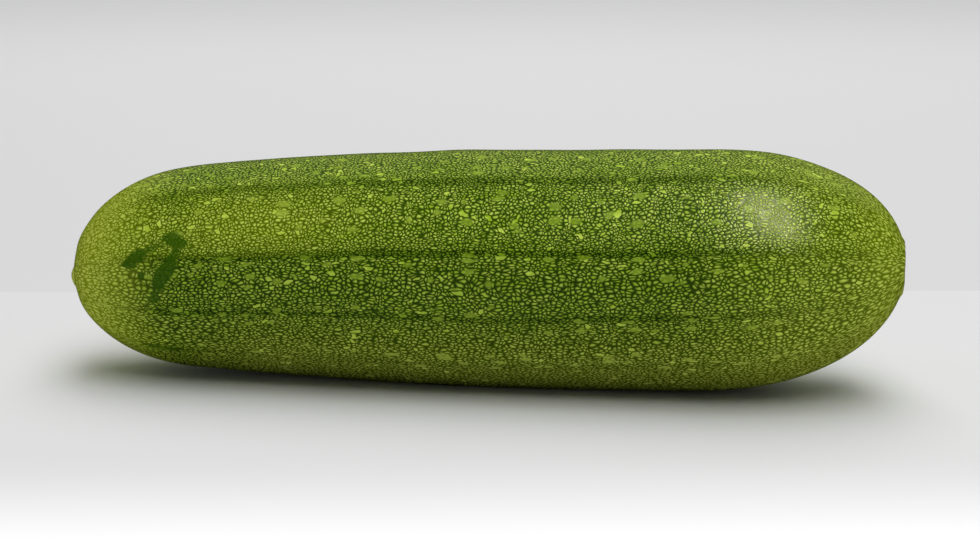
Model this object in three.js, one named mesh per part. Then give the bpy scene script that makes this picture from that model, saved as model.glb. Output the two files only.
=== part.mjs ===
// A garden courgette, as picked, lying on its belly.
// Millimetres, +Z up. X runs along the fruit, from the blossom nub at -X to the stem scar at +X.
// The origin is under the middle of the fruit, on the surface that it lies on.
import * as THREE from 'three';
import { mergeVertices } from 'three/addons/utils/BufferGeometryUtils.js';

// Driving sizes of the body: a tapered girth with a rounded cap at each end
const BODY_LENGTH = 218.6;          // from the blossom pole to the stem pole, before the nub and the scar
const WIDEST_RADIUS = 31.2;         // at the widest place, out on the ridges
const WIDEST_PLACE = 120;           // from the blossom pole; the girth is even from here on
const TAPERED_RADIUS = 24.3;        // what the taper would come down to at the blossom pole
const TAPER_POWER = 1.6;
const BLOSSOM_CAP = { length: 38.3, squareness: 2.4 };
const STEM_CAP = { length: 50.4, squareness: 2.1 };

// The axis bends a little: its height at four places, evenly spread along the fruit
const AXIS_HEIGHTS = [2.8, 6.7, 4.1, 9.1];

// Ten ridges run from end to end. Angles go round the fruit from the front (-Y) up and over the top.
const RIDGE_ANGLES = [17, 56, 93, 130, 167, 204, 249, 288, 319, 347];
const FLATNESS = 0.45;              // of the sides between the ridges: 0 is round, 1 is a flat-sided prism
const CREST_POWER = 1.3;            // 1 gives sharp crests, 2 gives soft ones
const TWIST_PER_LENGTH = 5.8;       // degrees that the ridges turn from end to end

// The blossom scar is a nub with a blunt tip and a low rim, a little below the axis
const NUB = { height: 2.1, tipRadius: 1.4, footRadius: 4.6, rimRadius: 3.2, rimHeight: 0.3, rimWidth: 0.6, drop: 2.4 };

// The stem scar is level with the skin: a shallow dish in a raised corky ring, with five soft lobes
const SCAR = {
  radius: 6.4, dish: 0.7, levelTo: 0.9, fadesAt: 1.15, ringHeight: 0.35, ringWidth: 1.1, lobes: 5, lobeDepth: 0.08,
};

// The belly is a little flat where the fruit lies
const FLAT_SPOT_DEPTH = 0.43;

// How finely the skin is divided
const COLUMNS_PER_SIDE = 6;
const CAP_RINGS = 22;
const MIDDLE_RINGS = 20;
const POLE_CROWDING = 1.6;          // draws the rings of a cap together towards its pole

const SKIN = new THREE.MeshStandardMaterial({
  name: 'courgette skin',
  color: 0x7d9a32,
  roughness: 0.42,
  metalness: 0,
});

// The angle of a place on a cap, 0 at the pole and a quarter turn at the shoulder.
function capAngle(ring) {
  return (Math.PI / 2) * (ring / CAP_RINGS) ** POLE_CROWDING;
}

// The girth that the taper gives at a distance from the blossom pole.
function taperedRadius(distance) {
  const share = Math.max(0, (WIDEST_PLACE - distance) / WIDEST_PLACE);
  return WIDEST_RADIUS - (WIDEST_RADIUS - TAPERED_RADIUS) * share ** TAPER_POWER;
}

// Half of the lengthwise outline, as points (radius, distance from the blossom pole).
function bodyProfile() {
  const profile = [];
  const blossomCapPoint = (angle) => {
    const distance = BLOSSOM_CAP.length * (1 - Math.cos(angle) ** (2 / BLOSSOM_CAP.squareness));
    return new THREE.Vector2(taperedRadius(distance) * Math.sin(angle) ** (2 / BLOSSOM_CAP.squareness), distance);
  };
  const stemCapPoint = (angle) => {
    const fromPole = STEM_CAP.length * (1 - Math.cos(angle) ** (2 / STEM_CAP.squareness));
    const distance = BODY_LENGTH - fromPole;
    return new THREE.Vector2(taperedRadius(distance) * Math.sin(angle) ** (2 / STEM_CAP.squareness), distance);
  };

  for (let ring = 0; ring < CAP_RINGS; ring += 1) {
    profile.push(blossomCapPoint(capAngle(ring)));
  }
  const middleLength = BODY_LENGTH - BLOSSOM_CAP.length - STEM_CAP.length;
  for (let ring = 0; ring <= MIDDLE_RINGS; ring += 1) {
    const distance = BLOSSOM_CAP.length + (middleLength * ring) / MIDDLE_RINGS;
    profile.push(new THREE.Vector2(taperedRadius(distance), distance));
  }
  for (let ring = CAP_RINGS - 1; ring >= 0; ring -= 1) {
    profile.push(stemCapPoint(capAngle(ring)));
  }
  return profile;
}

// The side between two ridges that a column of the lathe lies on, how far across it, and the angle there.
function placeAcrossSide(column) {
  const side = Math.floor(column / COLUMNS_PER_SIDE) % RIDGE_ANGLES.length;
  const across = (column % COLUMNS_PER_SIDE) / COLUMNS_PER_SIDE;
  const ridge = THREE.MathUtils.degToRad(RIDGE_ANGLES[side]);
  const nextAngle = side + 1 < RIDGE_ANGLES.length ? RIDGE_ANGLES[side + 1] : RIDGE_ANGLES[0] + 360;
  const width = THREE.MathUtils.degToRad(nextAngle) - ridge;
  return { width, across, angle: ridge + across * width };
}

// How much a side lies below the circle through the ridges, as a share of the radius.
function sideSag({ width, across }) {
  return FLATNESS * (1 - Math.cos(width / 2)) * Math.sin(Math.PI * across) ** CREST_POWER;
}

// A low bump of a given width, 1 at its middle.
function bump(value, middle, width) {
  return Math.exp(-(((value - middle) / width) ** 2));
}

// How far the nub stands out at a radius from its own middle.
function nubHeight(radius) {
  const slope = 1 - THREE.MathUtils.smoothstep(radius, NUB.tipRadius, NUB.footRadius);
  return NUB.height * slope + NUB.rimHeight * bump(radius, NUB.rimRadius, NUB.rimWidth);
}

// How deep the stem cap has fallen away at a radius from its pole.
function stemCapDepth(radius) {
  const share = Math.min(1, radius / WIDEST_RADIUS);
  const cosine = Math.max(0, 1 - share ** STEM_CAP.squareness) ** (1 / STEM_CAP.squareness);
  return STEM_CAP.length * (1 - cosine);
}

// How far the end of the fruit is set back from its cap by the stem scar.
function scarSetback(radius, angle) {
  const edge = SCAR.radius * (1 + SCAR.lobeDepth * Math.cos(SCAR.lobes * angle));
  const inside = 1 - THREE.MathUtils.smoothstep(radius, edge * SCAR.levelTo, edge * SCAR.fadesAt);
  const levelled = stemCapDepth(SCAR.radius) - stemCapDepth(radius);
  const dish = SCAR.dish * Math.max(0, 1 - (radius / edge) ** 2);
  return inside * (levelled + dish) - SCAR.ringHeight * bump(radius, edge, SCAR.ringWidth);
}

// The bent axis, with its height above an arbitrary level.
const axis = new THREE.CubicBezierCurve(
  ...AXIS_HEIGHTS.map((height, place) => new THREE.Vector2((BODY_LENGTH * place) / 3, height)),
);

// The whole fruit: a turned body, with its ridges, nub, scar, bend and flat spot worked in.
function courgetteGeometry() {
  const profile = bodyProfile();
  const columns = COLUMNS_PER_SIDE * RIDGE_ANGLES.length;
  const geometry = new THREE.LatheGeometry(profile.reverse(), columns);
  const position = geometry.attributes.position;

  for (let index = 0; index < position.count; index += 1) {
    const ring = profile[index % profile.length];
    const column = Math.floor(index / profile.length) % columns;
    const place = placeAcrossSide(column);
    const along = ring.y / BODY_LENGTH;
    const angle = place.angle + THREE.MathUtils.degToRad(TWIST_PER_LENGTH) * (along - 0.5);
    const radius = ring.x * (1 - sideSag(place));

    const outward = -radius * Math.cos(angle);
    const upward = radius * Math.sin(angle);

    let distance = ring.y;
    if (along < 0.5) {
      distance -= nubHeight(Math.hypot(outward, upward + NUB.drop));
    } else {
      distance -= scarSetback(ring.x, angle);
    }
    position.setXYZ(index, distance, outward, axis.getPoint(along).y + upward);
  }
  return setDown(geometry);
}

// Centres the fruit over the origin, lowers its belly a little through the surface and levels what is below it.
function setDown(geometry) {
  geometry.computeBoundingBox();
  const box = geometry.boundingBox;
  const middle = box.getCenter(new THREE.Vector3());
  geometry.translate(-middle.x, -middle.y, -box.min.z - FLAT_SPOT_DEPTH);

  const position = geometry.attributes.position;
  for (let index = 0; index < position.count; index += 1) {
    position.setZ(index, Math.max(0, position.getZ(index)));
  }
  return geometry;
}

// Joins the seam and the poles, so that the skin is one closed surface with smooth shading.
function closeSkin(geometry) {
  geometry.deleteAttribute('normal');
  geometry.deleteAttribute('uv');
  const joined = mergeVertices(geometry, 1e-4);
  const corners = joined.index.array;
  const kept = [];
  for (let corner = 0; corner < corners.length; corner += 3) {
    const [a, b, c] = corners.slice(corner, corner + 3);
    if (a !== b && b !== c && c !== a) {
      kept.push(a, b, c);
    }
  }
  joined.setIndex(kept);
  joined.computeVertexNormals();
  return joined;
}

const courgette = new THREE.Mesh(closeSkin(courgetteGeometry()), SKIN);
courgette.name = 'courgette';

const group = new THREE.Group();
group.add(courgette);

export default group;
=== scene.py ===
"""A garden courgette lying on its belly on a pale floor, in soft studio light.

Sizes are in millimetres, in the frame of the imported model: X along the fruit towards the stem, Z up.
"""
from __future__ import annotations

import logging
import math
from dataclasses import dataclass, field
from enum import Enum

import bpy
import numpy as np
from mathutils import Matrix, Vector


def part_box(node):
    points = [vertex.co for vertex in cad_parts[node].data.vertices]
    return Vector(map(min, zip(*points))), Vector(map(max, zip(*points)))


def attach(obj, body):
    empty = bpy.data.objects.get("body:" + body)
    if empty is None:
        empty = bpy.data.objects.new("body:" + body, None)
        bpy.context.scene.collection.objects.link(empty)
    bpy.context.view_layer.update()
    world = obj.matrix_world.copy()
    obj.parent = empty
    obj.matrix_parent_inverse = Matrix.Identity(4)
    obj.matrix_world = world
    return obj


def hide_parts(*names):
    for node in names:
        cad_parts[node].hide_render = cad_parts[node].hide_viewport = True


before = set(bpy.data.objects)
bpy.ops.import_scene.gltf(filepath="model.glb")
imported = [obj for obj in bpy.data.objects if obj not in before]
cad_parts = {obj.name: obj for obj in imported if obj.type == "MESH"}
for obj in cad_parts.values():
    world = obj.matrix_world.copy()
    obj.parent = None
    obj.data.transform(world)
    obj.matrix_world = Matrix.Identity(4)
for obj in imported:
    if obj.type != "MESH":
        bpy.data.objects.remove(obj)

log = logging.getLogger("courgette")

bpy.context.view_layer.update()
METRES = 0.001                      # metres in a millimetre
FAR_OFF = 99.0                      # stands for a place that is nowhere near a scar

Colour = tuple[float, float, float]
Point = tuple[float, float, float]


def paint(red: int, green: int, blue: int) -> Colour:
    """Turns screen values from 0 to 255 into the linear values that shaders take."""
    shares = (value / 255 for value in (red, green, blue))
    return tuple(s / 12.92 if s <= 0.04045 else ((s + 0.055) / 1.055) ** 2.4 for s in shares)


def smoothstep(value: np.ndarray, low: float, high: float) -> np.ndarray:
    """Rises softly from 0 at low to 1 at high."""
    share = np.clip((value - low) / (high - low), 0, 1)
    return share * share * (3 - 2 * share)


def bump(value: np.ndarray, middle: float, width: float) -> np.ndarray:
    """A low bump of a given width, 1 at its middle."""
    return np.exp(-(((value - middle) / width) ** 2))


class LampWork(Enum):
    """What a lamp does: it shows the form, or it only gives a highlight on what is glossy."""

    FORM = "form"
    HIGHLIGHT = "highlight"


@dataclass(frozen=True)
class Cap:
    """A rounded end of the body.

    Attributes:
        length: How far the rounding reaches along the fruit.
        squareness: 2 is an ellipse, more is blunter.
        rings: How many rings of the mesh lie on it.
        crowding: Draws its rings together towards the pole.
    """

    length: float
    squareness: float
    rings: int = 84
    crowding: float = 1.35

    def profile(self) -> tuple[np.ndarray, np.ndarray]:
        """Works out the outline of the cap from its pole to its shoulder.

        Returns:
            The distances from the pole, and the shares of the full girth there.
        """
        angle = (math.pi / 2) * (np.arange(self.rings) / self.rings) ** self.crowding
        power = 2 / self.squareness
        return self.length * (1 - np.cos(angle) ** power), np.sin(angle) ** power


@dataclass(frozen=True)
class Nub:
    """The scar of the blossom: a blunt tip in a low rim, a little below the axis."""

    height: float = 2.1
    tip_radius: float = 1.4
    foot_radius: float = 4.6
    rim_radius: float = 3.2
    rim_height: float = 0.3
    rim_width: float = 0.6
    drop: float = 2.4
    creases: int = 11
    crease_depth: float = 0.16
    crease_band: float = 2.4        # how wide the creased band is, in widths of the rim
    crease_sway: float = 2          # how far the creases stray from even spacing, in radians
    sways: int = 3

    def rise(self, radius: np.ndarray, turn: np.ndarray) -> np.ndarray:
        """How far the nub stands out.

        Args:
            radius: Distances from the middle of the nub.
            turn: Angles round it, in radians.

        Returns:
            The heights above the blossom cap.
        """
        slope = 1 - smoothstep(radius, self.tip_radius, self.foot_radius)
        rim = self.rim_height * bump(radius, self.rim_radius, self.rim_width)
        band = bump(radius, self.rim_radius, self.crease_band * self.rim_width)
        sway = self.crease_sway * np.sin(self.sways * turn)
        crease = self.crease_depth * band * np.sin(self.creases * turn + sway)
        return self.height * slope + rim + crease


@dataclass(frozen=True)
class StemScar:
    """Where the stem was cut: a shallow dish in a raised corky ring, with five soft lobes."""

    radius: float = 6.4
    dish: float = 0.7
    level_to: float = 0.9
    fades_at: float = 1.15
    ring_height: float = 0.35
    ring_width: float = 1.1
    lobes: int = 5
    lobe_depth: float = 0.08
    bundles: int = 10
    bundle_place: float = 0.62
    bundle_width: float = 0.13
    bundle_height: float = 0.16

    def edge(self, turn: np.ndarray) -> np.ndarray:
        """The radius of the lobed edge at angles round the fruit."""
        return self.radius * (1 + self.lobe_depth * np.cos(self.lobes * turn))

    def setback(self, radius: np.ndarray, turn: np.ndarray, cap_depth: np.ndarray,
                level: float) -> np.ndarray:
        """How far the end of the fruit is set back from its cap.

        Args:
            radius: Distances from the stem pole.
            turn: Angles round the fruit, in radians.
            cap_depth: How deep the cap has fallen away at those distances.
            level: The depth of the cap at the edge of the scar.

        Returns:
            The setbacks along the fruit.
        """
        edge = self.edge(turn)
        share = radius / edge
        inside = 1 - smoothstep(share, self.level_to, self.fades_at)
        dish = self.dish * np.clip(1 - share**2, 0, None)
        ring = self.ring_height * bump(radius - edge, 0, self.ring_width)
        dots = bump(share, self.bundle_place, self.bundle_width)
        dots = dots * np.clip(np.cos(self.bundles * turn), 0, 1) ** 2
        return inside * (level - cap_depth + dish - self.bundle_height * dots) - ring


@dataclass
class Body:
    """The form of the whole fruit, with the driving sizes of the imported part."""

    length: float = 218.6
    widest_radius: float = 31.2
    widest_place: float = 120
    tapered_radius: float = 24.3
    taper_power: float = 1.6
    blossom_cap: Cap = Cap(length=38.3, squareness=2.4)
    stem_cap: Cap = Cap(length=50.4, squareness=2.1)
    axis_heights: tuple[float, ...] = (2.8, 6.7, 4.1, 9.1)
    ridge_angles: tuple[float, ...] = (17, 56, 93, 130, 167, 204, 249, 288, 319, 347)
    flatness: float = 0.45
    crest_power: float = 1.3
    twist: float = 5.8
    nub: Nub = Nub()
    scar: StemScar = StemScar()
    flat_spot_depth: float = 0.43
    middle_rings: int = 132
    columns_per_side: int = 28
    wander: float = 0.9             # degrees that a ridge strays to either side
    wander_waves: tuple[float, float] = (1.1, 2.3)
    unevenness: float = 0.1         # height of the long soft dimples in the skin
    dimple_waves: int = 7
    dimple_lengths: tuple[float, float] = (16, 48)
    dimples_from: tuple[float, float] = (8, 20)     # the radii between which they begin
    seed: int = 7

    def girth(self, distance: np.ndarray) -> np.ndarray:
        """The radius that the taper gives at distances from the blossom pole."""
        share = np.clip((self.widest_place - distance) / self.widest_place, 0, None)
        return self.widest_radius - (self.widest_radius - self.tapered_radius) * share**self.taper_power

    def profile(self) -> tuple[np.ndarray, np.ndarray]:
        """Works out the lengthwise outline, from the blossom pole to the stem pole.

        Returns:
            The distances from the blossom pole, and the radii out on the ridges.
        """
        blossom_place, blossom_share = self.blossom_cap.profile()
        stem_depth, stem_share = self.stem_cap.profile()
        shoulder = self.length - self.stem_cap.length
        middle = np.linspace(self.blossom_cap.length, shoulder, self.middle_rings + 1)
        distance = np.concatenate([blossom_place, middle, (self.length - stem_depth)[::-1]])
        share = np.concatenate([blossom_share, np.ones_like(middle), stem_share[::-1]])
        return distance, self.girth(distance) * share

    def skin_run(self, distance: np.ndarray) -> np.ndarray:
        """Measures how far the skin runs along a ridge, over the ends as well.

        Args:
            distance: Distances from the blossom pole along the fruit.

        Returns:
            The runs of the skin, which agree with the distances at the widest place.
        """
        places, radii = self.profile()
        run = np.concatenate([[0], np.cumsum(np.hypot(np.diff(places), np.diff(radii)))])
        run += self.widest_place - np.interp(self.widest_place, places, run)
        return np.interp(distance, places, run)

    def sides(self) -> tuple[np.ndarray, np.ndarray, np.ndarray]:
        """Lays the columns of the mesh over the ten sides.

        Returns:
            For each column: the number of its side, how far across it lies, and the side's width
            in radians.
        """
        column = np.arange(self.columns_per_side * len(self.ridge_angles))
        side = column // self.columns_per_side
        across = (column % self.columns_per_side) / self.columns_per_side
        following = [*self.ridge_angles[1:], self.ridge_angles[0] + 360]
        width = np.radians(np.subtract(following, self.ridge_angles))[side]
        return side, across, width

    def axis_height(self, along: np.ndarray) -> np.ndarray:
        """Works out the height of the bent axis.

        Args:
            along: Shares of the length, from 0 at the blossom pole to 1 at the stem pole.

        Returns:
            The heights.
        """
        first, second, third, last = self.axis_heights
        back = 1 - along
        return (
            back**3 * first
            + 3 * back**2 * along * second
            + 3 * back * along**2 * third
            + along**3 * last
        )

    def stem_cap_depth(self, radius: np.ndarray) -> np.ndarray:
        """How deep the stem cap has fallen away at radii from its pole."""
        left = 1 - np.clip(radius / self.widest_radius, 0, 1) ** self.stem_cap.squareness
        return self.stem_cap.length * (1 - np.clip(left, 0, None) ** (1 / self.stem_cap.squareness))

    def straying(self, along: np.ndarray, side: np.ndarray, across: np.ndarray) -> np.ndarray:
        """How far the ridges stray from their straight runs.

        Args:
            along: Shares of the length, as a column.
            side: The number of the side of each column of the mesh.
            across: How far across its side each column lies.

        Returns:
            The angles, in radians, for each ring and column.
        """
        draw = np.random.default_rng(self.seed)
        count = len(self.ridge_angles)
        start = draw.uniform(0, 2 * math.pi, count)
        waves = draw.uniform(*self.wander_waves, count)
        amount = draw.uniform(0.5, 1, count)

        def of_ridge(number: np.ndarray) -> np.ndarray:
            """How far ridges stray at every ring, as shares of the most."""
            return amount[number] * np.sin(2 * math.pi * waves[number] * along + start[number])

        share = across * of_ridge((side + 1) % count) + (1 - across) * of_ridge(side)
        return math.radians(self.wander) * share * np.sin(math.pi * along)

    def dimples(self, distance: np.ndarray, turn: np.ndarray) -> np.ndarray:
        """The long soft unevenness of a skin that grew.

        Args:
            distance: Distances from the blossom pole, as a column.
            turn: Angles round the fruit.

        Returns:
            Heights above the even form, for each ring and column.
        """
        draw = np.random.default_rng(self.seed + 1)
        height = np.zeros(np.broadcast(distance, turn).shape)
        for _ in range(self.dimple_waves):
            length = draw.uniform(*self.dimple_lengths)
            around = draw.integers(1, 6)
            start = draw.uniform(0, 2 * math.pi, 2)
            height += np.sin(2 * math.pi * distance / length + start[0]) * np.sin(around * turn + start[1])
        return self.unevenness * height / math.sqrt(self.dimple_waves)

    def form(self) -> dict[str, np.ndarray]:
        """Works out where every vertex between the poles lies, ring by ring.

        Returns:
            The places in millimetres, and what the skin's finish needs to know of them.
        """
        distance, reach = (values[:, None] for values in self.profile())
        side, across, width = (values[None, :] for values in self.sides())
        along = distance / self.length
        start = np.radians(np.array(self.ridge_angles))[side]
        angle = start + across * width + math.radians(self.twist) * (along - 0.5)
        angle = angle + self.straying(along, side, across)
        sag = self.flatness * (1 - np.cos(width / 2)) * np.sin(math.pi * across) ** self.crest_power

        radius = reach * (1 - sag)
        skin = smoothstep(reach, *self.dimples_from)
        radius = radius + skin * self.dimples(distance, angle)
        outward = -radius * np.cos(angle)
        upward = radius * np.sin(angle)

        from_nub = np.hypot(outward, upward + self.nub.drop)
        round_nub = np.arctan2(upward + self.nub.drop, -outward)
        level = float(self.stem_cap_depth(np.array(self.scar.radius)))
        setback = self.scar.setback(reach, angle, self.stem_cap_depth(reach), level)
        end = np.where(along < 0.5, -self.nub.rise(from_nub, round_nub), -setback)
        height = self.axis_height(along) + upward
        return {
            "place": np.stack(np.broadcast_arrays(distance + end, outward, height), axis=-1),
            "distance": distance + 0 * angle,
            "reach": reach + 0 * angle,
            "side": side + 0 * angle,
            "across": across + 0 * angle,
            "from_nub": from_nub,
            "from_scar": np.where(along < 0.5, FAR_OFF, reach / self.scar.edge(angle)),
        }


@dataclass(frozen=True)
class Mosaic:
    """How the net of the skin is laid over the fruit.

    The net is drawn on a label that is wrapped round a tube, on which the ridges are straight and
    evenly spaced.

    Attributes:
        lengthening: How much longer than wide the meshes of the net are.
        crowding: How much the meshes crowd together at the ridges.
        seam_ridge: The ridge under the back of the fruit, along which the label's edges meet.
    """

    lengthening: float = 1.32
    crowding: float = 0.22
    seam_ridge: int = 6

    def turn(self, side: float, across: float, body: Body) -> float:
        """The angle round the tube of a place across a side; the label's edges meet at half a turn."""
        spread = across + self.crowding * np.sin(2 * math.pi * across) / (2 * math.pi)
        return math.pi + (side + spread - self.seam_ridge) * 2 * math.pi / len(body.ridge_angles)

    def wrap(self, distance: float, turn: float, body: Body) -> np.ndarray:
        """Finds where places on the skin lie on the tube, by distance from the blossom pole and turn."""
        run, tube = body.skin_run(distance) / self.lengthening, body.widest_radius
        return np.stack([run, -tube * np.cos(turn), tube * np.sin(turn)], axis=-1)

    def lay_spot(self, x: float, angle: float, body: Body) -> Point:
        """Finds one spot on the unrolled label.

        Args:
            x: The spot's place along the fruit in the part's frame.
            angle: Its angle from the front up and over the top, in degrees.
            body: The form of the fruit.

        Returns:
            The place on the label, in millimetres, with no height.
        """
        distance = x + body.length / 2
        straight = angle - body.twist * (distance / body.length - 0.5)
        ridges = [*body.ridge_angles, body.ridge_angles[0] + 360]
        if straight < ridges[0]:
            straight += 360
        side = max(number for number, ridge in enumerate(ridges[:-1]) if ridge <= straight)
        across = (straight - ridges[side]) / (ridges[side + 1] - ridges[side])
        turn = math.remainder(float(self.turn(side, across, body)), 2 * math.pi)
        return float(body.skin_run(distance)) / self.lengthening, turn * body.widest_radius, 0.0


class NodeDesk:
    """Lays out the nodes of one material and joins them."""

    def __init__(self, tree: bpy.types.NodeTree) -> None:
        """Clears the node tree of a material or a world to build in."""
        self.tree = tree
        tree.nodes.clear()

    def add(self, kind: str, **settings: object) -> bpy.types.Node:
        """Adds a node.

        Args:
            kind: The node's type.
            settings: Its properties.

        Returns:
            The node.
        """
        node = self.tree.nodes.new(kind)
        for name, value in settings.items():
            setattr(node, name, value)
        return node

    def feed(self, socket: bpy.types.NodeSocket, value: object) -> None:
        """Joins a socket to what feeds it, or sets its value.

        Args:
            socket: The socket.
            value: Another socket, a value, or nothing to leave it as it is.
        """
        if isinstance(value, bpy.types.NodeSocket):
            self.tree.links.new(value, socket)
        elif value is not None:
            socket.default_value = value

    def wired(self, kind: str, feeds: dict[int | str, object], **settings: object) -> bpy.types.Node:
        """Adds a node and feeds its sockets.

        Args:
            kind: The node's type.
            feeds: What feeds each socket, by its number or name.
            settings: The node's properties.

        Returns:
            The node.
        """
        node = self.add(kind, **settings)
        for socket, value in feeds.items():
            self.feed(node.inputs[socket], value)
        return node

    def math(self, operation: str, *values: object, clamp: bool = False) -> bpy.types.NodeSocket:
        """Works out a number from one to three others."""
        feeds = dict(enumerate(values))
        return self.wired("ShaderNodeMath", feeds, operation=operation, use_clamp=clamp).outputs[0]

    def vector(self, operation: str, *values: object) -> bpy.types.NodeSocket:
        """Works out a vector, or a number for a product or a length, from one to three others."""
        node = self.wired("ShaderNodeVectorMath", dict(enumerate(values)), operation=operation)
        return node.outputs["Value" if operation in ("DOT_PRODUCT", "LENGTH", "DISTANCE") else "Vector"]

    def scaled(self, vector: object, factor: object) -> bpy.types.NodeSocket:
        """Multiplies a vector by a number."""
        feeds = {0: vector, "Scale": factor}
        return self.wired("ShaderNodeVectorMath", feeds, operation="SCALE").outputs[0]

    def ease(self, value: object, low: object, high: object, start: object = 0.0,
             end: object = 1.0) -> bpy.types.NodeSocket:
        """Goes softly from start to end as a value goes from low to high."""
        feeds = {"Value": value, "From Min": low, "From Max": high, "To Min": start, "To Max": end}
        return self.wired("ShaderNodeMapRange", feeds, interpolation_type="SMOOTHSTEP").outputs[0]

    def mix(self, share: object, first: object, second: object, blend: str = "MIX") -> bpy.types.NodeSocket:
        """Mixes two colours.

        Args:
            share: The share of the second.
            first: The first colour, or what gives it.
            second: The second.
            blend: How they are mixed.

        Returns:
            The mixed colour.
        """
        node = self.add("ShaderNodeMix", data_type="RGBA", blend_type=blend)
        colours = [socket for socket in node.inputs if socket.type == "RGBA"]
        self.feed(node.inputs[0], share)
        for socket, value in zip(colours, (first, second)):
            self.feed(socket, (*value, 1) if isinstance(value, tuple) else value)
        return next(socket for socket in node.outputs if socket.type == "RGBA")

    def noise(self, place: object, scale: float, detail: float = 2.0) -> bpy.types.Node:
        """Adds noise at a place, scale being in turns for each millimetre."""
        return self.wired("ShaderNodeTexNoise", {"Vector": place, "Scale": scale, "Detail": detail})

    def cells(self, place: object, pitch: float, feature: str = "F1",
              disorder: float = 1.0) -> bpy.types.Node:
        """Adds a flat pattern of cells of about a given pitch, in millimetres."""
        feeds = {"Vector": place, "Scale": 1 / pitch, "Randomness": disorder}
        return self.wired("ShaderNodeTexVoronoi", feeds, feature=feature, voronoi_dimensions="2D")

    def parts(self, vector: object) -> bpy.types.bpy_prop_collection:
        """Splits a vector or a colour into its three numbers."""
        return self.wired("ShaderNodeSeparateXYZ", {0: vector}).outputs

    def stored(self, name: str, output: str = "Fac") -> bpy.types.NodeSocket:
        """Reads what the mesh stores under a name."""
        return self.add("ShaderNodeAttribute", attribute_name=name).outputs[output]


@dataclass(frozen=True)
class Stroke:
    """A stroke of the dark mark near the blossom end.

    Attributes:
        start: Its beginning, as the place along the fruit and the angle round it in degrees.
        end: Its end, in the same way.
        radius: Half of its width, in millimetres.
        depth: How dark it is.
    """

    start: tuple[float, float]
    end: tuple[float, float]
    radius: float
    depth: float = 1.0


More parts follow.
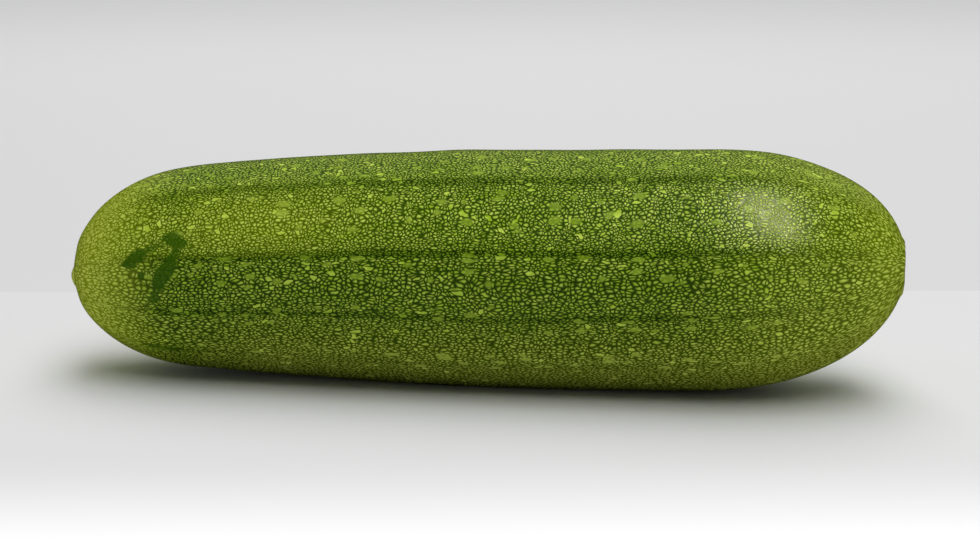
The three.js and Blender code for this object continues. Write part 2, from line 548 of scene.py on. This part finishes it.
@dataclass(frozen=True)
class CourgetteSkin:
    """The waxy green skin: a net of dark lines round pale flecks, with darker stripes on the ridges."""

    fleck: Colour = paint(220, 244, 98)
    dim_fleck: Colour = paint(164, 198, 38)
    line: Colour = paint(44, 74, 0)
    # the colours of the stripes, also used for the painted shade of the sides
    stripe_and_painted_shade_fleck: Colour = paint(124, 160, 26)
    stripe_and_painted_shade_line: Colour = paint(18, 44, 0)
    spot: Colour = paint(136, 168, 34)
    # the colours of the pale ends, also used for the painted patch of light
    end_and_painted_light_fleck: Colour = paint(216, 230, 94)
    end_and_painted_light_line: Colour = paint(138, 158, 12)
    belly_fleck: Colour = paint(206, 218, 96)
    belly_line: Colour = paint(78, 94, 0)
    mark: Colour = paint(50, 88, 4)
    nub_brown: Colour = paint(124, 118, 40)
    cork: Colour = paint(168, 150, 96)
    cork_dark: Colour = paint(96, 88, 46)

    fleck_pitch: float = 0.75
    fleck_disorder: float = 1.0
    fleck_rise: float = 0.42        # how far in from its edge a fleck is at its palest, in pitches
    end_rise: float = 0.4           # how much sooner it is so at the pale end and in the painted patch of light
    fleck_middle: tuple[float, float, float, float] = (0.12, 0.74, 1.0, 0.15)   # dims away from its middle
    cluster_pitch: float = 1.2
    cluster_share: float = 0.06
    own_tone: float = 0.65          # the share of a fleck's tone that is not its cluster's
    row_scale: Point = (0.06, 0.8, 0.8)
    row_depth: float = 1.5
    patch_scale: float = 0.06
    patch_depth: float = 0.5
    bend_scale: float = 0.3
    bend: Point = (3.2, 1.4, 0.0)   # how far the net bends along the fruit and round it
    spot_grip: float = 0.1          # how far the edges of a spot follow whole meshes of the net
    mark_grip: float = 0.4          # how far the edges of the mark do
    mark_depth: float = 0.88
    mark_edge: tuple[float, float] = (0.75, 1.2)    # where a stroke fades, in radii
    spot_pitch: float = 5.0
    spot_depth: float = 0.8
    spot_edge: tuple[float, float] = (-0.07, 0.05)
    spot_squeeze: Point = (0.95, 1.2, 0.0)
    stripe_scale: Point = (0.05, 0.3, 0.3)
    stripe_raggedness: float = 2.4
    core_depth: float = 0.65        # of a stripe; its broad part has the rest
    stripe_core: float = 2.0        # how far the dark core of a stripe reaches from the ridge
    stripe_reach: float = 4.6
    fleck_roughness: float = 0.19
    line_roughness: float = 0.23
    cork_roughness: float = 0.8
    gloss: float = 0.2
    bump_strength: float = 0.85
    bump_height: float = 0.06       # of a fleck above the lines, in millimetres
    fine_scale: float = 2.4
    fine_share: float = 0.3         # of the bump: the finest grain of the skin
    room_step: float = 0.2          # the net changes its size in steps of this
    room_blur: float = 0.16
    strokes: tuple[Stroke, ...] = (
        Stroke((-87.2, 11.5), (-84.6, 18.0), 1.7),
        Stroke((-84.6, 18.0), (-80.6, 21.5), 1.1, 0.7),
        Stroke((-80.6, 21.5), (-77.0, 25.5), 0.9, 0.45),
        Stroke((-76.2, 26.0), (-73.8, 23.0), 1.9),
        Stroke((-74.2, 21.0), (-75.6, 15.0), 1.1, 0.85),
        Stroke((-75.8, 13.5), (-79.2, 0.0), 1.55),
        Stroke((-79.2, 0.0), (-80.8, 351.0), 1.0, 0.9),
        Stroke((-84.2, 5.5), (-84.0, 3.5), 0.75),
        Stroke((-84.4, 316.0), (-79.0, 315.6), 1.3, 0.7),
        Stroke((-96.2, 86.0), (-95.4, 86.0), 0.75),
    )

    def material(self, mosaic: Mosaic, body: Body) -> bpy.types.Material:
        """Builds the skin's material.

        Args:
            mosaic: How the net lies on the fruit.
            body: The form of the fruit.

        Returns:
            The material.
        """
        material = bpy.data.materials.new("courgette_skin")
        material.use_nodes = True
        desk = NodeDesk(material.node_tree)

        place = desk.stored("tube_place", "Vector")
        tube = desk.parts(place)
        turn = desk.math("ARCTAN2", tube[2], desk.math("MULTIPLY", tube[1], -1.0))
        round_tube = desk.math("MULTIPLY", turn, body.widest_radius)
        label = desk.wired("ShaderNodeCombineXYZ", {0: tube[0], 1: round_tube}).outputs[0]
        ridge_spacing = 2 * math.pi * body.widest_radius / len(body.ridge_angles)

        drift = desk.vector("SUBTRACT", desk.noise(place, self.bend_scale).outputs["Color"], (0.5, 0.5, 0.5))
        bent = desk.vector("ADD", label, desk.vector("MULTIPLY", drift, self.bend))
        spread = self.spread(desk, place)
        drawn = desk.scaled(bent, spread)
        near = desk.cells(drawn, self.fleck_pitch, "F1", self.fleck_disorder)
        second = desk.cells(drawn, self.fleck_pitch, "F2", self.fleck_disorder)
        edge = desk.cells(drawn, self.fleck_pitch, "DISTANCE_TO_EDGE", self.fleck_disorder)
        unspread = desk.math("DIVIDE", 1.0, spread)
        here = desk.scaled(near.outputs["Position"], unspread)
        there = desk.scaled(second.outputs["Position"], unspread)

        joined, cluster_tone = self.clusters(desk, here, there)
        in_mesh = self.gripped(desk, bent, here, self.spot_grip)
        in_spot, spot_tone = self.spots(desk, in_mesh, ridge_spacing)
        stripe = self.stripes(desk, place, label, ridge_spacing)
        # painted shade: the front and back sides are darkened towards the stripe colours
        stripe = desk.math("MAXIMUM", stripe, desk.stored("painted_side_shade"))
        mark = self.marks(desk, self.gripped(desk, bent, here, self.mark_grip), mosaic, body)

        hidden = desk.math("MAXIMUM", joined, desk.math("MULTIPLY", in_spot, self.spot_depth))
        # the paleness of the ends, together with a painted patch of light on the upper front side
        pale_end_and_painted_light = desk.stored("pale_end_and_painted_light")
        palest = desk.math("MULTIPLY_ADD", pale_end_and_painted_light, -self.end_rise * self.fleck_rise, self.fleck_rise)
        rise = desk.ease(edge.outputs["Distance"], 0.0, palest)
        rise = desk.math("MULTIPLY", rise, desk.ease(near.outputs["Distance"], *self.fleck_middle))
        net = desk.math("MULTIPLY", desk.math("SUBTRACT", 1.0, rise), desk.math("SUBTRACT", 1.0, hidden))

        own = desk.parts(near.outputs["Color"])[0]
        shared = desk.math("MULTIPLY", cluster_tone, 1 - self.own_tone)
        tone = desk.math("MULTIPLY_ADD", own, self.own_tone, shared)
        rows = desk.noise(desk.vector("MULTIPLY", place, self.row_scale), 1.0).outputs["Fac"]
        rows = desk.math("MULTIPLY_ADD", rows, self.row_depth, -self.row_depth / 2)
        patches = desk.noise(place, self.patch_scale, 3.0).outputs["Fac"]
        patches = desk.math("MULTIPLY_ADD", patches, self.patch_depth, -self.patch_depth / 2)
        tone = desk.math("ADD", desk.math("ADD", tone, rows), patches, clamp=True)

        fleck = desk.mix(tone, self.dim_fleck, self.fleck)
        fleck = desk.mix(stripe, fleck, self.stripe_and_painted_shade_fleck)
        line = desk.mix(stripe, self.line, self.stripe_and_painted_shade_line)
        spot = desk.mix(desk.math("MULTIPLY", spot_tone, 0.2), self.spot, self.fleck)
        fleck = desk.mix(in_spot, fleck, spot)

        belly = desk.stored("belly")
        fleck = desk.mix(belly, fleck, self.belly_fleck)
        line = desk.mix(belly, line, self.belly_line)
        fleck = desk.mix(pale_end_and_painted_light, fleck, self.end_and_painted_light_fleck)
        line = desk.mix(pale_end_and_painted_light, line, self.end_and_painted_light_line)
        skin = desk.mix(net, fleck, line)
        skin = desk.mix(desk.math("MULTIPLY", mark, self.mark_depth), skin, self.mark)
        skin = self.nub_colour(desk, skin)
        skin = self.scar_colour(desk, skin)

        relief = desk.math("MULTIPLY", rise, desk.math("SUBTRACT", 1.0, mark))
        fine = desk.noise(place, self.fine_scale).outputs["Fac"]
        bumps = desk.wired("ShaderNodeBump", {
            "Strength": self.bump_strength,
            "Distance": self.bump_height * METRES,
            "Height": desk.math("MULTIPLY_ADD", fine, self.fine_share, relief),
        })
        rough = desk.ease(net, 0.1, 0.9, self.fleck_roughness, self.line_roughness)
        corky = desk.math("MULTIPLY", desk.stored("cork"), self.cork_roughness)
        shader = desk.wired("ShaderNodeBsdfPrincipled", {
            "Specular IOR Level": self.gloss,
            "Base Color": skin,
            "Roughness": desk.math("MAXIMUM", rough, corky),
            "Normal": bumps.outputs[0],
        })
        desk.wired("ShaderNodeOutputMaterial", {"Surface": shader.outputs[0]})
        return material

    def gripped(self, desk: NodeDesk, place: object, here: object, grip: float) -> object:
        """Draws a place on the label a share of the way to the middle of its mesh of the net."""
        return desk.vector("ADD", desk.scaled(place, 1 - grip), desk.scaled(here, grip))

    def spread(self, desk: NodeDesk, place: object) -> object:
        """Keeps the meshes of the net from crowding where the fruit is slender or a side is narrow.

        Args:
            desk: Where the nodes are laid.
            place: The place on the tube.

        Returns:
            The scale for places on the label, in a few steps: less than 1 draws the net larger.
        """
        ragged = desk.noise(place, self.bend_scale).outputs["Fac"]
        room = desk.math("ADD", desk.stored("room"), self.room_step / 2 - self.room_blur / 2)
        share = desk.math("MULTIPLY_ADD", ragged, self.room_blur, room)
        return desk.math("MAXIMUM", desk.math("SNAP", share, self.room_step), self.room_step)

    def clusters(self, desk: NodeDesk, here: object, there: object) -> tuple[object, object]:
        """Joins some neighbouring meshes of the net into larger ones.

        Args:
            desk: Where the nodes are laid.
            here: The middle of the mesh that a point is in.
            there: The middle of the nearest mesh beside it.

        Returns:
            1 where the line between the two is left out, and a random tone of the joined mesh.
        """
        mine = desk.cells(here, self.cluster_pitch).outputs["Color"]
        theirs = desk.cells(there, self.cluster_pitch).outputs["Color"]
        same = desk.math("LESS_THAN", desk.vector("DISTANCE", mine, theirs), 0.001)
        tones = desk.parts(mine)
        chosen = desk.math("LESS_THAN", tones[1], self.cluster_share)
        return desk.math("MULTIPLY", same, chosen), tones[2]

    def off_ridge(self, desk: NodeDesk, label: object, ridge_spacing: float) -> object:
        """How far a place on the label is from the nearest ridge, in millimetres."""
        return desk.math("PINGPONG", desk.parts(label)[1], ridge_spacing / 2)

    def stripes(self, desk: NodeDesk, place: object, label: object, ridge_spacing: float) -> object:
        """The darker stripes that run along the ridges.

        Args:
            desk: Where the nodes are laid.
            place: The place on the tube.
            label: The place on the unrolled label.
            ridge_spacing: How far apart the ridges are on the label.

        Returns:
            How deep in a stripe the place is.
        """
        stretched = desk.vector("MULTIPLY", place, self.stripe_scale)
        ragged = desk.noise(stretched, 1.0, 3.0).outputs["Fac"]
        off = desk.math("MULTIPLY_ADD", ragged, self.stripe_raggedness, -self.stripe_raggedness / 2)
        off = desk.math("ADD", off, self.off_ridge(desk, label, ridge_spacing))
        core = desk.ease(off, self.stripe_core * 0.3, self.stripe_core, self.core_depth, 0.0)
        broad = desk.ease(off, self.stripe_core * 0.5, self.stripe_reach, 1 - self.core_depth, 0.0)
        return desk.math("MULTIPLY", desk.math("ADD", core, broad), desk.stored("stripe_strength"))

    def spots(self, desk: NodeDesk, place: object, ridge_spacing: float) -> tuple[object, object]:
        """The large pale spots, in loose rows between the ridges.

        Args:
            desk: Where the nodes are laid.
            place: The place on the unrolled label, drawn towards the middle of its mesh.
            ridge_spacing: How far apart the ridges are on the label.

        Returns:
            How deep in a spot the place is, and a random tone of the spot.
        """
        drawn_out = desk.vector("MULTIPLY", place, self.spot_squeeze)
        spot = desk.cells(drawn_out, self.spot_pitch)
        tones = desk.parts(spot.outputs["Color"])
        midway = desk.ease(self.off_ridge(desk, spot.outputs["Position"], ridge_spacing), 1.5, 5.0)
        reach = desk.math("MULTIPLY", desk.math("MULTIPLY_ADD", tones[0], 0.24, -0.02), midway)
        inside = desk.math("SUBTRACT", reach, spot.outputs["Distance"])
        return desk.ease(inside, *self.spot_edge, 0.0, self.spot_depth), tones[1]

    def marks(self, desk: NodeDesk, place: object, mosaic: Mosaic, body: Body) -> object:
        """The dark smooth mark near the blossom end.

        Args:
            desk: Where the nodes are laid.
            place: The place on the unrolled label, drawn towards the middle of its mesh.
            mosaic: How the net lies on the fruit.
            body: The form of the fruit.

        Returns:
            How deep in the mark the place is.
        """
        depth = None
        for stroke in self.strokes:
            start = Vector(mosaic.lay_spot(*stroke.start, body))
            run = Vector(mosaic.lay_spot(*stroke.end, body)) - start
            offset = desk.vector("SUBTRACT", place, tuple(start))
            along = desk.vector("DOT_PRODUCT", offset, tuple(run / run.length_squared))
            along = desk.math("MAXIMUM", along, 0.0, clamp=True)
            off = desk.vector("LENGTH", desk.vector("SUBTRACT", offset, desk.scaled(tuple(run), along)))
            fades = (stroke.radius * share for share in self.mark_edge)
            inside = desk.ease(off, *fades, stroke.depth, 0.0)
            depth = inside if depth is None else desk.math("MAXIMUM", depth, inside)
        return depth

    def nub_colour(self, desk: NodeDesk, skin: object) -> object:
        """Browns the tip of the nub and pales its rim.

        Args:
            desk: Where the nodes are laid.
            skin: The colour of the skin so far.

        Returns:
            The colour with the nub.
        """
        from_nub = desk.stored("from_nub")
        rim = desk.math("MULTIPLY", desk.ease(from_nub, 1.6, 2.8), desk.ease(from_nub, 4.8, 3.4))
        skin = desk.mix(desk.math("MULTIPLY", rim, 0.5), skin, self.end_and_painted_light_fleck)
        return desk.mix(desk.ease(from_nub, 2.2, 0.7, 0.0, 0.85), skin, self.nub_brown)

    def scar_colour(self, desk: NodeDesk, skin: object) -> object:
        """Makes the stem scar corky.

        Args:
            desk: Where the nodes are laid.
            skin: The colour of the skin so far.

        Returns:
            The colour with the scar.
        """
        place = desk.scaled(desk.add("ShaderNodeTexCoord").outputs["Object"], 1 / METRES)
        grain = desk.noise(place, 1.3, 4.0).outputs["Fac"]
        cork = desk.mix(desk.ease(grain, 0.35, 0.65), self.cork_dark, self.cork)
        return desk.mix(desk.stored("cork"), skin, cork)


@dataclass
class Courgette:
    """The fruit: its form, the net laid over it, and its skin."""

    body: Body = field(default_factory=Body)
    mosaic: Mosaic = Mosaic()
    skin: CourgetteSkin = CourgetteSkin()
    stripe_strengths: tuple[float, ...] = (0.95, 0.75, 0.7, 0.8, 0.85, 0.75, 0.8, 0.5, 1.0, 1.0)
    # painted shade: how far each side is darkened towards the stripe colours, most on the front, a little on
    # the back, none on the top or the belly
    painted_side_shades: tuple[float, ...] = (0.0, 0.0, 0.1, 0.1, 0.1, 0.1, 0.0, 0.0, 0.3, 0.4)
    blossom_reach: float = 34       # how far the pale end reaches along the fruit
    stem_reach: float = 60
    belly_side: float = 7.2         # the middle of the paler belly, in sides round from the first ridge

    def build(self) -> bpy.types.Object:
        """Builds the fruit and dresses it.

        Returns:
            The mesh object.
        """
        form = self.body.form()
        rings, columns = form["reach"].shape
        rings -= 2                  # the first and last rings of the profile are the poles themselves
        grid = {name: values[1:-1] for name, values in form.items()}
        places = self.set_down(form["place"])
        poles = places[[0, -1]].mean(axis=1)
        places = places[1:-1]

        mesh = bpy.data.meshes.new("courgette_skin")
        vertices = np.concatenate([places.reshape(-1, 3), poles]) * METRES
        mesh.from_pydata(vertices.tolist(), [], self.faces(rings, columns))
        mesh.shade_smooth()
        self.unwrap(mesh, places, rings, columns)
        self.store(mesh, grid)
        mesh.materials.append(self.skin.material(self.mosaic, self.body))
        fruit = bpy.data.objects.new("courgette_fine", mesh)
        bpy.context.scene.collection.objects.link(fruit)
        return fruit

    def set_down(self, places: np.ndarray) -> np.ndarray:
        """Centres the fruit over the origin and flattens its belly a little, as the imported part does.

        Args:
            places: Where every ring and column lies, in millimetres.

        Returns:
            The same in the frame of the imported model.
        """
        places = places.copy()
        low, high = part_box("courgette")
        middle = (np.array(low) + np.array(high)) / (2 * METRES)
        spans = places.reshape(-1, 3)
        places[..., 0] += middle[0] - (spans[:, 0].min() + spans[:, 0].max()) / 2
        places[..., 1] += middle[1] - (spans[:, 1].min() + spans[:, 1].max()) / 2
        places[..., 2] -= spans[:, 2].min() + self.body.flat_spot_depth
        places[..., 2] = np.maximum(places[..., 2], low[2] / METRES)
        return places

    def faces(self, rings: int, columns: int) -> list[tuple[int, ...]]:
        """Lists the faces of the closed skin.

        Args:
            rings: Number of rings between the poles.
            columns: Number of vertices in a ring.

        Returns:
            The faces, as tuples of vertex numbers.
        """
        ring = np.arange(rings - 1)[:, None] * columns
        column = np.arange(columns)[None, :]
        after = (column + 1) % columns
        corners = [ring + column, ring + columns + column, ring + columns + after, ring + after]
        quads = np.stack(corners, axis=-1)
        blossom, stem = rings * columns, rings * columns + 1
        last = (rings - 1) * columns
        faces = [tuple(quad) for quad in quads.reshape(-1, 4).tolist()]
        faces += [(blossom, number, (number + 1) % columns) for number in range(columns)]
        faces += [(stem, last + (number + 1) % columns, last + number) for number in range(columns)]
        return faces

    def unwrap(self, mesh: bpy.types.Mesh, places: np.ndarray, rings: int, columns: int) -> None:
        """Unrolls the skin like a label, from pole to pole and once round.

        Args:
            mesh: The mesh of the fruit.
            places: The places of its rings, in millimetres.
            rings: Number of rings.
            columns: Number of vertices in a ring.
        """
        steps = np.linalg.norm(np.diff(places, axis=0), axis=-1).mean(axis=1)
        run = np.concatenate([[0], np.cumsum(steps)])
        margin = 0.004
        pole_gap = 0.5
        along = margin + (1 - 2 * margin) * (run + pole_gap) / (run[-1] + 2 * pole_gap)
        loops = np.zeros(len(mesh.loops), dtype=np.int32)
        mesh.loops.foreach_get("vertex_index", loops)
        uv = np.zeros((len(loops), 2))
        poles = loops >= rings * columns
        uv[~poles, 0] = along[loops[~poles] // columns]
        uv[loops == rings * columns + 1, 0] = 1
        uv[~poles, 1] = (loops[~poles] % columns) / columns

        quads = (rings - 1) * columns * 4
        body = uv[:quads].reshape(-1, 4, 2)
        wraps = body[:, :, 1].max(axis=1) - body[:, :, 1].min(axis=1) > 0.5
        body[wraps, :, 1] = np.where(body[wraps, :, 1] == 0, 1.0, body[wraps, :, 1])
        fans = uv[quads:].reshape(-1, 3, 2)
        wraps = np.abs(fans[:, 1, 1] - fans[:, 2, 1]) > 0.5
        fans[wraps, 1:, 1] = np.where(fans[wraps, 1:, 1] == 0, 1.0, fans[wraps, 1:, 1])
        fans[:, 0, 1] = (fans[:, 1, 1] + fans[:, 2, 1]) / 2
        layer = mesh.uv_layers.new(name="OFBake")
        layer.data.foreach_set("uv", uv.ravel())

    def store(self, mesh: bpy.types.Mesh, grid: dict[str, np.ndarray]) -> None:
        """Stores on the mesh what the skin's finish reads.

        Args:
            mesh: The mesh of the fruit.
            grid: What the body worked out for every ring and column between the poles.
        """
        distance, length = grid["distance"], self.body.length
        side = grid["side"].astype(int)
        sides_round = grid["side"] + grid["across"]

        turn = self.mosaic.turn(grid["side"], grid["across"], self.body)
        ends = self.body.skin_run(np.array([0, length])) / self.mosaic.lengthening
        tube = self.mosaic.wrap(distance, turn, self.body)
        self.attribute(mesh, "tube_place", tube, [[end, 0, 0] for end in ends], "FLOAT_VECTOR", "vector")

        fading = smoothstep(distance, 2, 30) * (1 - 0.75 * smoothstep(distance, length - 60, length - 20))
        strengths = np.array([*self.stripe_strengths, self.stripe_strengths[0]])
        stripe = strengths[side + (grid["across"] > 0.5)] * (0.35 + 0.65 * fading)
        self.attribute(mesh, "stripe_strength", stripe, [0.4, 0.4])
        # painted shade of the sides, blended across each ridge and faded towards the ends
        middles = np.arange(len(self.painted_side_shades)) + 0.5
        painted_shade = np.interp(sides_round, middles, self.painted_side_shades, period=len(middles)) * fading
        self.attribute(mesh, "painted_side_shade", painted_shade, [0, 0])

        spans = np.diff([*self.body.ridge_angles, self.body.ridge_angles[0] + 360])
        room = grid["reach"] / self.body.widest_radius * spans[side] / spans.mean()
        self.attribute(mesh, "room", room, [0, 0])

        blossom = 1 - smoothstep(distance, 3, self.blossom_reach)
        stem = 0.2 * smoothstep(distance, length - self.stem_reach, length - 12)
        stem = stem + 0.3 * smoothstep(distance, length - 16, length - 4)
        # painted light: a soft lit patch on the upper front side, about 53 mm from the blossom pole, added
        # to the paleness of the ends
        painted_glow = 0.35 * bump(distance, 53, 30) * bump(sides_round, 0.45, 0.5)
        self.attribute(mesh, "pale_end_and_painted_light", blossom + stem + painted_glow, [1, 0.55])
        belly = bump(sides_round, self.belly_side, 1.2) * smoothstep(distance, 20, 60)
        self.attribute(mesh, "belly", belly, [0, 0])
        from_nub = np.where(distance < length / 2, grid["from_nub"], FAR_OFF)
        self.attribute(mesh, "from_nub", from_nub, [0, FAR_OFF])
        self.attribute(mesh, "cork", 1 - smoothstep(grid["from_scar"], 0.98, 1.14), [0, 1])

    def attribute(self, mesh: bpy.types.Mesh, name: str, values: np.ndarray, at_poles: list,
                  kind: str = "FLOAT", item: str = "value") -> None:
        """Stores one value for each vertex.

        Args:
            mesh: The mesh of the fruit.
            name: The name that the finish reads.
            values: The values at the rings.
            at_poles: The values at the blossom pole and the stem pole.
            kind: The type of the attribute.
            item: The name of its values in Blender.
        """
        stored = mesh.attributes.new(name, kind, "POINT")
        every = np.append(values.ravel(), np.ravel(at_poles))
        stored.data.foreach_set(item, every.astype(np.float32))


@dataclass(frozen=True)
class FloorFinish:
    """Pale matt paper that glows a little at the front, and beyond a line behind the fruit.

    Attributes:
        paper: The colour of the paper.
        far_paper: Its colour beyond the line.
        line_place: How far behind the middle of the fruit the line runs.
        front_glow: The painted glow that the paper gives off in front of the fruit.
        back_glow: The painted glow that it gives off just beyond the line.
        far_glow: The painted glow that it gives off far behind.
        front_band: Where the front glow fades, in front of the middle of the fruit.
        far_place: How far behind the far glow is reached.
        line_softness: How far the line is blurred to either side.
        roughness: How matt it is.
        sheen: Its gloss.
    """

    paper: Colour = (0.87, 0.87, 0.877)
    far_paper: Colour = (0.45, 0.45, 0.455)
    line_place: float = 113
    front_glow: float = 0.32
    back_glow: float = 0.315
    far_glow: float = 0.4
    front_band: tuple[float, float] = (-155, -70)
    far_place: float = 1200
    line_softness: float = 1
    roughness: float = 0.7
    sheen: float = 0.1

    def material(self) -> bpy.types.Material:
        """Builds the floor's material, which reads places on the floor itself.

        Returns:
            The material.
        """
        material = bpy.data.materials.new("pale_floor")
        material.use_nodes = True
        desk = NodeDesk(material.node_tree)
        places = desk.parts(desk.add("ShaderNodeTexCoord").outputs["Object"])
        back = desk.math("DIVIDE", places[1], METRES)
        line = self.line_place
        beyond = desk.ease(back, line - self.line_softness, line + self.line_softness)
        front = desk.ease(back, *self.front_band, self.front_glow, 0.0)
        far = desk.ease(back, line, self.far_place, self.back_glow, self.far_glow)
        # painted light: the paper glows at the front and beyond the line
        painted_glow = desk.math("MULTIPLY_ADD", beyond, far, front)
        paper = desk.mix(beyond, self.paper, self.far_paper)
        shader = desk.wired("ShaderNodeBsdfPrincipled", {
            "Roughness": self.roughness,
            "Specular IOR Level": self.sheen,
            "Emission Color": (1, 1, 1, 1),
            "Base Color": paper,
            "Emission Strength": painted_glow,
        })
        desk.wired("ShaderNodeOutputMaterial", {"Surface": shader.outputs[0]})
        return material


@dataclass(frozen=True)
class Lamp:
    """An oblong soft light that points at the fruit.

    Attributes:
        name: Its name in the scene.
        towards: The direction from the fruit to the lamp.
        distance: How far away it is, in metres.
        size: How long it is along the fruit and across it, in metres.
        watts: Its power.
        work: Whether it shows the form or only gives a highlight.
        tint: The colour of its light.
    """

    name: str
    towards: Point
    distance: float
    size: tuple[float, float]
    watts: float
    work: LampWork = LampWork.FORM
    tint: Colour = (1.0, 1.0, 1.0)

    def hang(self) -> None:
        """Hangs the lamp over the scene."""
        data = bpy.data.lights.new(self.name, "AREA")
        data.shape = "RECTANGLE"
        data.size, data.size_y = self.size
        data.energy = self.watts
        data.color = self.tint
        lamp = bpy.data.objects.new(self.name, data)
        towards = Vector(self.towards).normalized()
        lamp.location = towards * self.distance
        lamp.rotation_euler = towards.to_track_quat("Z", "Y").to_euler()
        lamp.visible_glossy = self.work is LampWork.HIGHLIGHT
        lamp.visible_diffuse = self.work is LampWork.FORM
        bpy.context.scene.collection.objects.link(lamp)


@dataclass
class Studio:
    """The floor, the grey surroundings and the lamps."""

    heading: float = 8.5            # degrees that the floor is turned, to face the photograph's view
    floor_size: float = 6.0
    floor_finish: FloorFinish = FloorFinish()
    front_grey: float = 0.13
    back_grey: float = 0.29
    grey_band: tuple[float, float] = (-0.9, 0.2)    # where one goes over into the other
    lamps: tuple[Lamp, ...] = (
        Lamp("ceiling_lamp", (0.12, 0.03, 1.0), 1.3, (2.8, 0.85), 19.0),
        Lamp(
            "right_highlight", (0.42, -0.35, 0.84), 0.36, (0.05, 0.13), 0.68,
            LampWork.HIGHLIGHT, (1.0, 1.0, 0.6),
        ),
        Lamp("back_sheen", (0.0, 0.8, 0.6), 1.2, (1.6, 1.0), 1.3, LampWork.HIGHLIGHT, (1.0, 1.0, 0.65)),
    )

    def build(self) -> bpy.types.Object:
        """Lays the floor, surrounds it with grey and hangs the lamps.

        Returns:
            The floor.
        """
        half = self.floor_size / 2
        corners = [(-half, -half, 0), (half, -half, 0), (half, half, 0), (-half, half, 0)]
        mesh = bpy.data.meshes.new("floor")
        mesh.from_pydata(corners, [], [(0, 1, 2, 3)])
        mesh.materials.append(self.floor_finish.material())
        floor = bpy.data.objects.new("floor", mesh)
        floor.rotation_euler = (0, 0, math.radians(self.heading))
        floor.visible_glossy = False
        bpy.context.scene.collection.objects.link(floor)
        self.surround()
        for lamp in self.lamps:
            lamp.hang()
        return floor

    def surround(self) -> None:
        """Surrounds the scene with soft grey, darker on the side that the camera is on."""
        world = bpy.data.worlds.new("studio")
        bpy.context.scene.world = world
        world.cycles_visibility.glossy = False
        world.use_nodes = True
        desk = NodeDesk(world.node_tree)
        places = desk.parts(desk.add("ShaderNodeTexCoord").outputs["Generated"])
        grey = desk.ease(places[1], *self.grey_band, self.front_grey, self.back_grey)
        background = desk.wired("ShaderNodeBackground", {"Color": grey})
        desk.wired("ShaderNodeOutputWorld", {"Surface": background.outputs[0]})


@dataclass
class Viewpoint:
    """The camera, at the photograph's viewing angle.

    Attributes:
        elevation: Degrees above the level.
        azimuth: Degrees that the camera is displaced towards the stem end.
        distance: From the middle of the fruit, in millimetres.
        middle: The middle of the fruit, in millimetres.
        aside: How far right of the middle the camera aims, in millimetres.
        below: How far below the middle it aims.
        lens: Focal length, in millimetres.
        sensor_width: In millimetres.
        near: How near to the camera anything is still seen, in metres.
    """

    elevation: float = 11
    azimuth: float = 8.5
    distance: float = 520
    middle: Point = (0, 0, 31)
    aside: float = 3.75
    below: float = 3.1
    lens: float = 72.85
    sensor_width: float = 36
    near: float = 0.01

    def build(self) -> bpy.types.Object:
        """Places the camera.

        Returns:
            The camera.
        """
        elevation, azimuth = math.radians(self.elevation), math.radians(self.azimuth)
        back = Vector((
            math.sin(azimuth) * math.cos(elevation),
            -math.cos(azimuth) * math.cos(elevation),
            math.sin(elevation),
        ))
        right = Vector((math.cos(azimuth), math.sin(azimuth), 0))
        eye = Vector(self.middle) + self.distance * back
        aim = Vector(self.middle) + self.aside * right - self.below * back.cross(right)
        data = bpy.data.cameras.new("camera")
        data.lens = self.lens
        data.sensor_width = self.sensor_width
        data.sensor_fit = "HORIZONTAL"
        data.clip_start = self.near
        camera = bpy.data.objects.new("camera", data)
        camera.location = eye * METRES
        camera.rotation_euler = (eye - aim).to_track_quat("Z", "Y").to_euler()
        bpy.context.scene.collection.objects.link(camera)
        bpy.context.scene.camera = camera
        return camera


def main() -> None:
    """Builds the courgette, the studio and the camera, and reports each."""
    logging.basicConfig(level=logging.INFO, format="%(name)s: %(message)s")
    bpy.context.scene.view_settings.view_transform = "Standard"
    fruit = Courgette().build()
    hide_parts("courgette")
    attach(fruit, "root")
    log.info("%s: %d faces", fruit.name, len(fruit.data.polygons))

    floor = Studio().build()
    log.info("floor and lamps in place")
    camera = Viewpoint().build()
    log.info("camera at %s", [round(value, 3) for value in camera.location])


if __name__ == "__main__":
    main()
